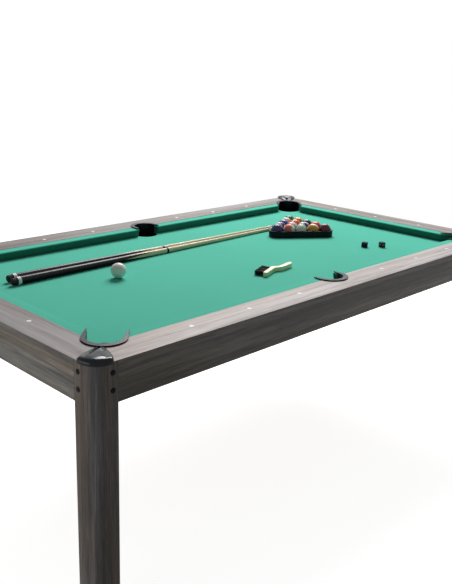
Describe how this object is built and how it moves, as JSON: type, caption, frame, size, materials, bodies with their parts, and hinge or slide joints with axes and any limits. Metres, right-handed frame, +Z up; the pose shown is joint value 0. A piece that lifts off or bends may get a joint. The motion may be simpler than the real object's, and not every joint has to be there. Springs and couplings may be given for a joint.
{
  "type": "convertible pool table",
  "caption": "Pool table of dining height with folded wood-look rails, square posts with a round outer corner, green cloth, drop pockets and its playing set.",
  "frame": {"origin": "on the floor, under the middle of the table", "axes": "+X along the table's length, towards the end where the balls are racked; +Y across the table; +Z up"},
  "size_m": [2.2896, 1.2996, 0.8115],
  "materials": {
    "rail_wood": "satin wood-look foil, pinkish grey",
    "apron_wood": "satin wood-look foil, dark grey-brown",
    "post_wood": "satin wood-look foil, dark grey-brown",
    "frame_timber": "plain sawn timber",
    "bed_board": "plain board",
    "bed_cloth": "napped green cloth",
    "cushion_cloth": "rubber nose covered in green cloth",
    "pocket_plastic": "black, fine satin",
    "cap_plastic": "glossy blue-black",
    "foot_plastic": "black",
    "cue_lacquer": "black gloss lacquer",
    "cue_maple": "varnished maple",
    "rack_plastic": "black gloss",
    "brush_wood": "pale varnished wood",
    "brush_bristle": "black bristles",
    "chalk": "pressed chalk in a paper label",
    "cue_ball": "polished resin",
    "ball_01": "polished resin, solid colour",
    "ball_02": "polished resin, solid colour",
    "ball_03": "polished resin, solid colour",
    "ball_04": "polished resin, solid colour",
    "ball_05": "polished resin, solid colour",
    "ball_06": "polished resin, solid colour",
    "ball_07": "polished resin, solid colour",
    "ball_08": "polished resin, solid colour",
    "ball_09": "polished resin, white with a coloured stripe",
    "ball_10": "polished resin, white with a coloured stripe",
    "ball_11": "polished resin, white with a coloured stripe",
    "ball_12": "polished resin, white with a coloured stripe",
    "ball_13": "polished resin, white with a coloured stripe",
    "ball_14": "polished resin, white with a coloured stripe",
    "ball_15": "polished resin, white with a coloured stripe"
  },
  "bodies": {
    "table": {"bed_panel": "bed_board", "bed_cloth": "bed_cloth", "bed_frame": "frame_timber", "front_rail": "rail_wood", "back_rail": "rail_wood", "left_rail": "rail_wood", "right_rail": "rail_wood", "front_apron": "apron_wood", "back_apron": "apron_wood", "left_apron": "apron_wood", "right_apron": "apron_wood", "cushion_front_left": "cushion_cloth", "cushion_front_right": "cushion_cloth", "cushion_back_left": "cushion_cloth", "cushion_back_right": "cushion_cloth", "cushion_left": "cushion_cloth", "cushion_right": "cushion_cloth", "leg_post_front_left": "post_wood", "leg_post_front_right": "post_wood", "leg_post_back_right": "post_wood", "leg_post_back_left": "post_wood", "corner_pocket_front_left": "pocket_plastic", "corner_pocket_front_right": "pocket_plastic", "corner_pocket_back_right": "pocket_plastic", "corner_pocket_back_left": "pocket_plastic", "side_pocket_front": "pocket_plastic", "side_pocket_back": "pocket_plastic", "corner_cap_front_left": "cap_plastic", "corner_cap_front_right": "cap_plastic", "corner_cap_back_right": "cap_plastic", "corner_cap_back_left": "cap_plastic"},
    "leveler_front_left": {"leveler_front_left": "foot_plastic"},
    "leveler_front_right": {"leveler_front_right": "foot_plastic"},
    "leveler_back_right": {"leveler_back_right": "foot_plastic"},
    "leveler_back_left": {"leveler_back_left": "foot_plastic"},
    "cue_back": {"cue_back_shaft": "cue_maple"},
    "cue_back_butt": {"cue_back_butt": "cue_lacquer"},
    "cue_front": {"cue_front_shaft": "cue_maple"},
    "cue_front_butt": {"cue_front_butt": "cue_lacquer"},
    "ball_rack": {"ball_rack": "rack_plastic"},
    "brush": {"brush_handle": "brush_wood", "brush_bristles": "brush_bristle"},
    "chalk_left": {"chalk_left": "chalk"},
    "chalk_right": {"chalk_right": "chalk"},
    "cue_ball": {"cue_ball": "cue_ball"},
    "ball_01": {"ball_01": "ball_01"},
    "ball_02": {"ball_02": "ball_02"},
    "ball_03": {"ball_03": "ball_03"},
    "ball_04": {"ball_04": "ball_04"},
    "ball_05": {"ball_05": "ball_05"},
    "ball_06": {"ball_06": "ball_06"},
    "ball_07": {"ball_07": "ball_07"},
    "ball_08": {"ball_08": "ball_08"},
    "ball_09": {"ball_09": "ball_09"},
    "ball_10": {"ball_10": "ball_10"},
    "ball_11": {"ball_11": "ball_11"},
    "ball_12": {"ball_12": "ball_12"},
    "ball_13": {"ball_13": "ball_13"},
    "ball_14": {"ball_14": "ball_14"},
    "ball_15": {"ball_15": "ball_15"}
  },
  "joints": [
    {"name": "leveler_front_left_turn", "type": "hinge", "parent": "table", "child": "leveler_front_left", "pos_m": [-1.1025, -0.6075, 0], "axis": [0, 0, 1], "continuous": true},
    {"name": "leveler_front_right_turn", "type": "hinge", "parent": "table", "child": "leveler_front_right", "pos_m": [1.1025, -0.6075, 0], "axis": [0, 0, 1], "continuous": true},
    {"name": "leveler_back_right_turn", "type": "hinge", "parent": "table", "child": "leveler_back_right", "pos_m": [1.1025, 0.6075, 0], "axis": [0, 0, 1], "continuous": true},
    {"name": "leveler_back_left_turn", "type": "hinge", "parent": "table", "child": "leveler_back_left", "pos_m": [-1.1025, 0.6075, 0], "axis": [0, 0, 1], "continuous": true},
    {"name": "cue_back_lift", "type": "slide", "parent": "table", "child": "cue_back", "axis": [0, 0, 1], "range_m": [0, 0.15]},
    {"name": "cue_back_butt_draw", "type": "slide", "parent": "cue_back", "child": "cue_back_butt", "axis": [-0.9999, -0.015, 0.0057], "range_m": [0, 0.025]},
    {"name": "cue_front_lift", "type": "slide", "parent": "table", "child": "cue_front", "axis": [0, 0, 1], "range_m": [0, 0.15]},
    {"name": "cue_front_butt_draw", "type": "slide", "parent": "cue_front", "child": "cue_front_butt", "axis": [-0.9997, -0.0252, 0.0057], "range_m": [0, 0.025]},
    {"name": "ball_rack_lift", "type": "slide", "parent": "table", "child": "ball_rack", "axis": [0, 0, 1], "range_m": [0, 0.15]},
    {"name": "brush_lift", "type": "slide", "parent": "table", "child": "brush", "axis": [0, 0, 1], "range_m": [0, 0.15]},
    {"name": "chalk_left_lift", "type": "slide", "parent": "table", "child": "chalk_left", "axis": [0, 0, 1], "range_m": [0, 0.15]},
    {"name": "chalk_right_lift", "type": "slide", "parent": "table", "child": "chalk_right", "axis": [0, 0, 1], "range_m": [0, 0.15]},
    {"name": "cue_ball_lift", "type": "slide", "parent": "table", "child": "cue_ball", "axis": [0, 0, 1], "range_m": [0, 0.15]},
    {"name": "ball_01_lift", "type": "slide", "parent": "table", "child": "ball_01", "axis": [0, 0, 1], "range_m": [0, 0.15]},
    {"name": "ball_02_lift", "type": "slide", "parent": "table", "child": "ball_02", "axis": [0, 0, 1], "range_m": [0, 0.15]},
    {"name": "ball_03_lift", "type": "slide", "parent": "table", "child": "ball_03", "axis": [0, 0, 1], "range_m": [0, 0.15]},
    {"name": "ball_04_lift", "type": "slide", "parent": "table", "child": "ball_04", "axis": [0, 0, 1], "range_m": [0, 0.15]},
    {"name": "ball_05_lift", "type": "slide", "parent": "table", "child": "ball_05", "axis": [0, 0, 1], "range_m": [0, 0.15]},
    {"name": "ball_06_lift", "type": "slide", "parent": "table", "child": "ball_06", "axis": [0, 0, 1], "range_m": [0, 0.15]},
    {"name": "ball_07_lift", "type": "slide", "parent": "table", "child": "ball_07", "axis": [0, 0, 1], "range_m": [0, 0.15]},
    {"name": "ball_08_lift", "type": "slide", "parent": "table", "child": "ball_08", "axis": [0, 0, 1], "range_m": [0, 0.15]},
    {"name": "ball_09_lift", "type": "slide", "parent": "table", "child": "ball_09", "axis": [0, 0, 1], "range_m": [0, 0.15]},
    {"name": "ball_10_lift", "type": "slide", "parent": "table", "child": "ball_10", "axis": [0, 0, 1], "range_m": [0, 0.15]},
    {"name": "ball_11_lift", "type": "slide", "parent": "table", "child": "ball_11", "axis": [0, 0, 1], "range_m": [0, 0.15]},
    {"name": "ball_12_lift", "type": "slide", "parent": "table", "child": "ball_12", "axis": [0, 0, 1], "range_m": [0, 0.15]},
    {"name": "ball_13_lift", "type": "slide", "parent": "table", "child": "ball_13", "axis": [0, 0, 1], "range_m": [0, 0.15]},
    {"name": "ball_14_lift", "type": "slide", "parent": "table", "child": "ball_14", "axis": [0, 0, 1], "range_m": [0, 0.15]},
    {"name": "ball_15_lift", "type": "slide", "parent": "table", "child": "ball_15", "axis": [0, 0, 1], "range_m": [0, 0.15]}
  ]
}
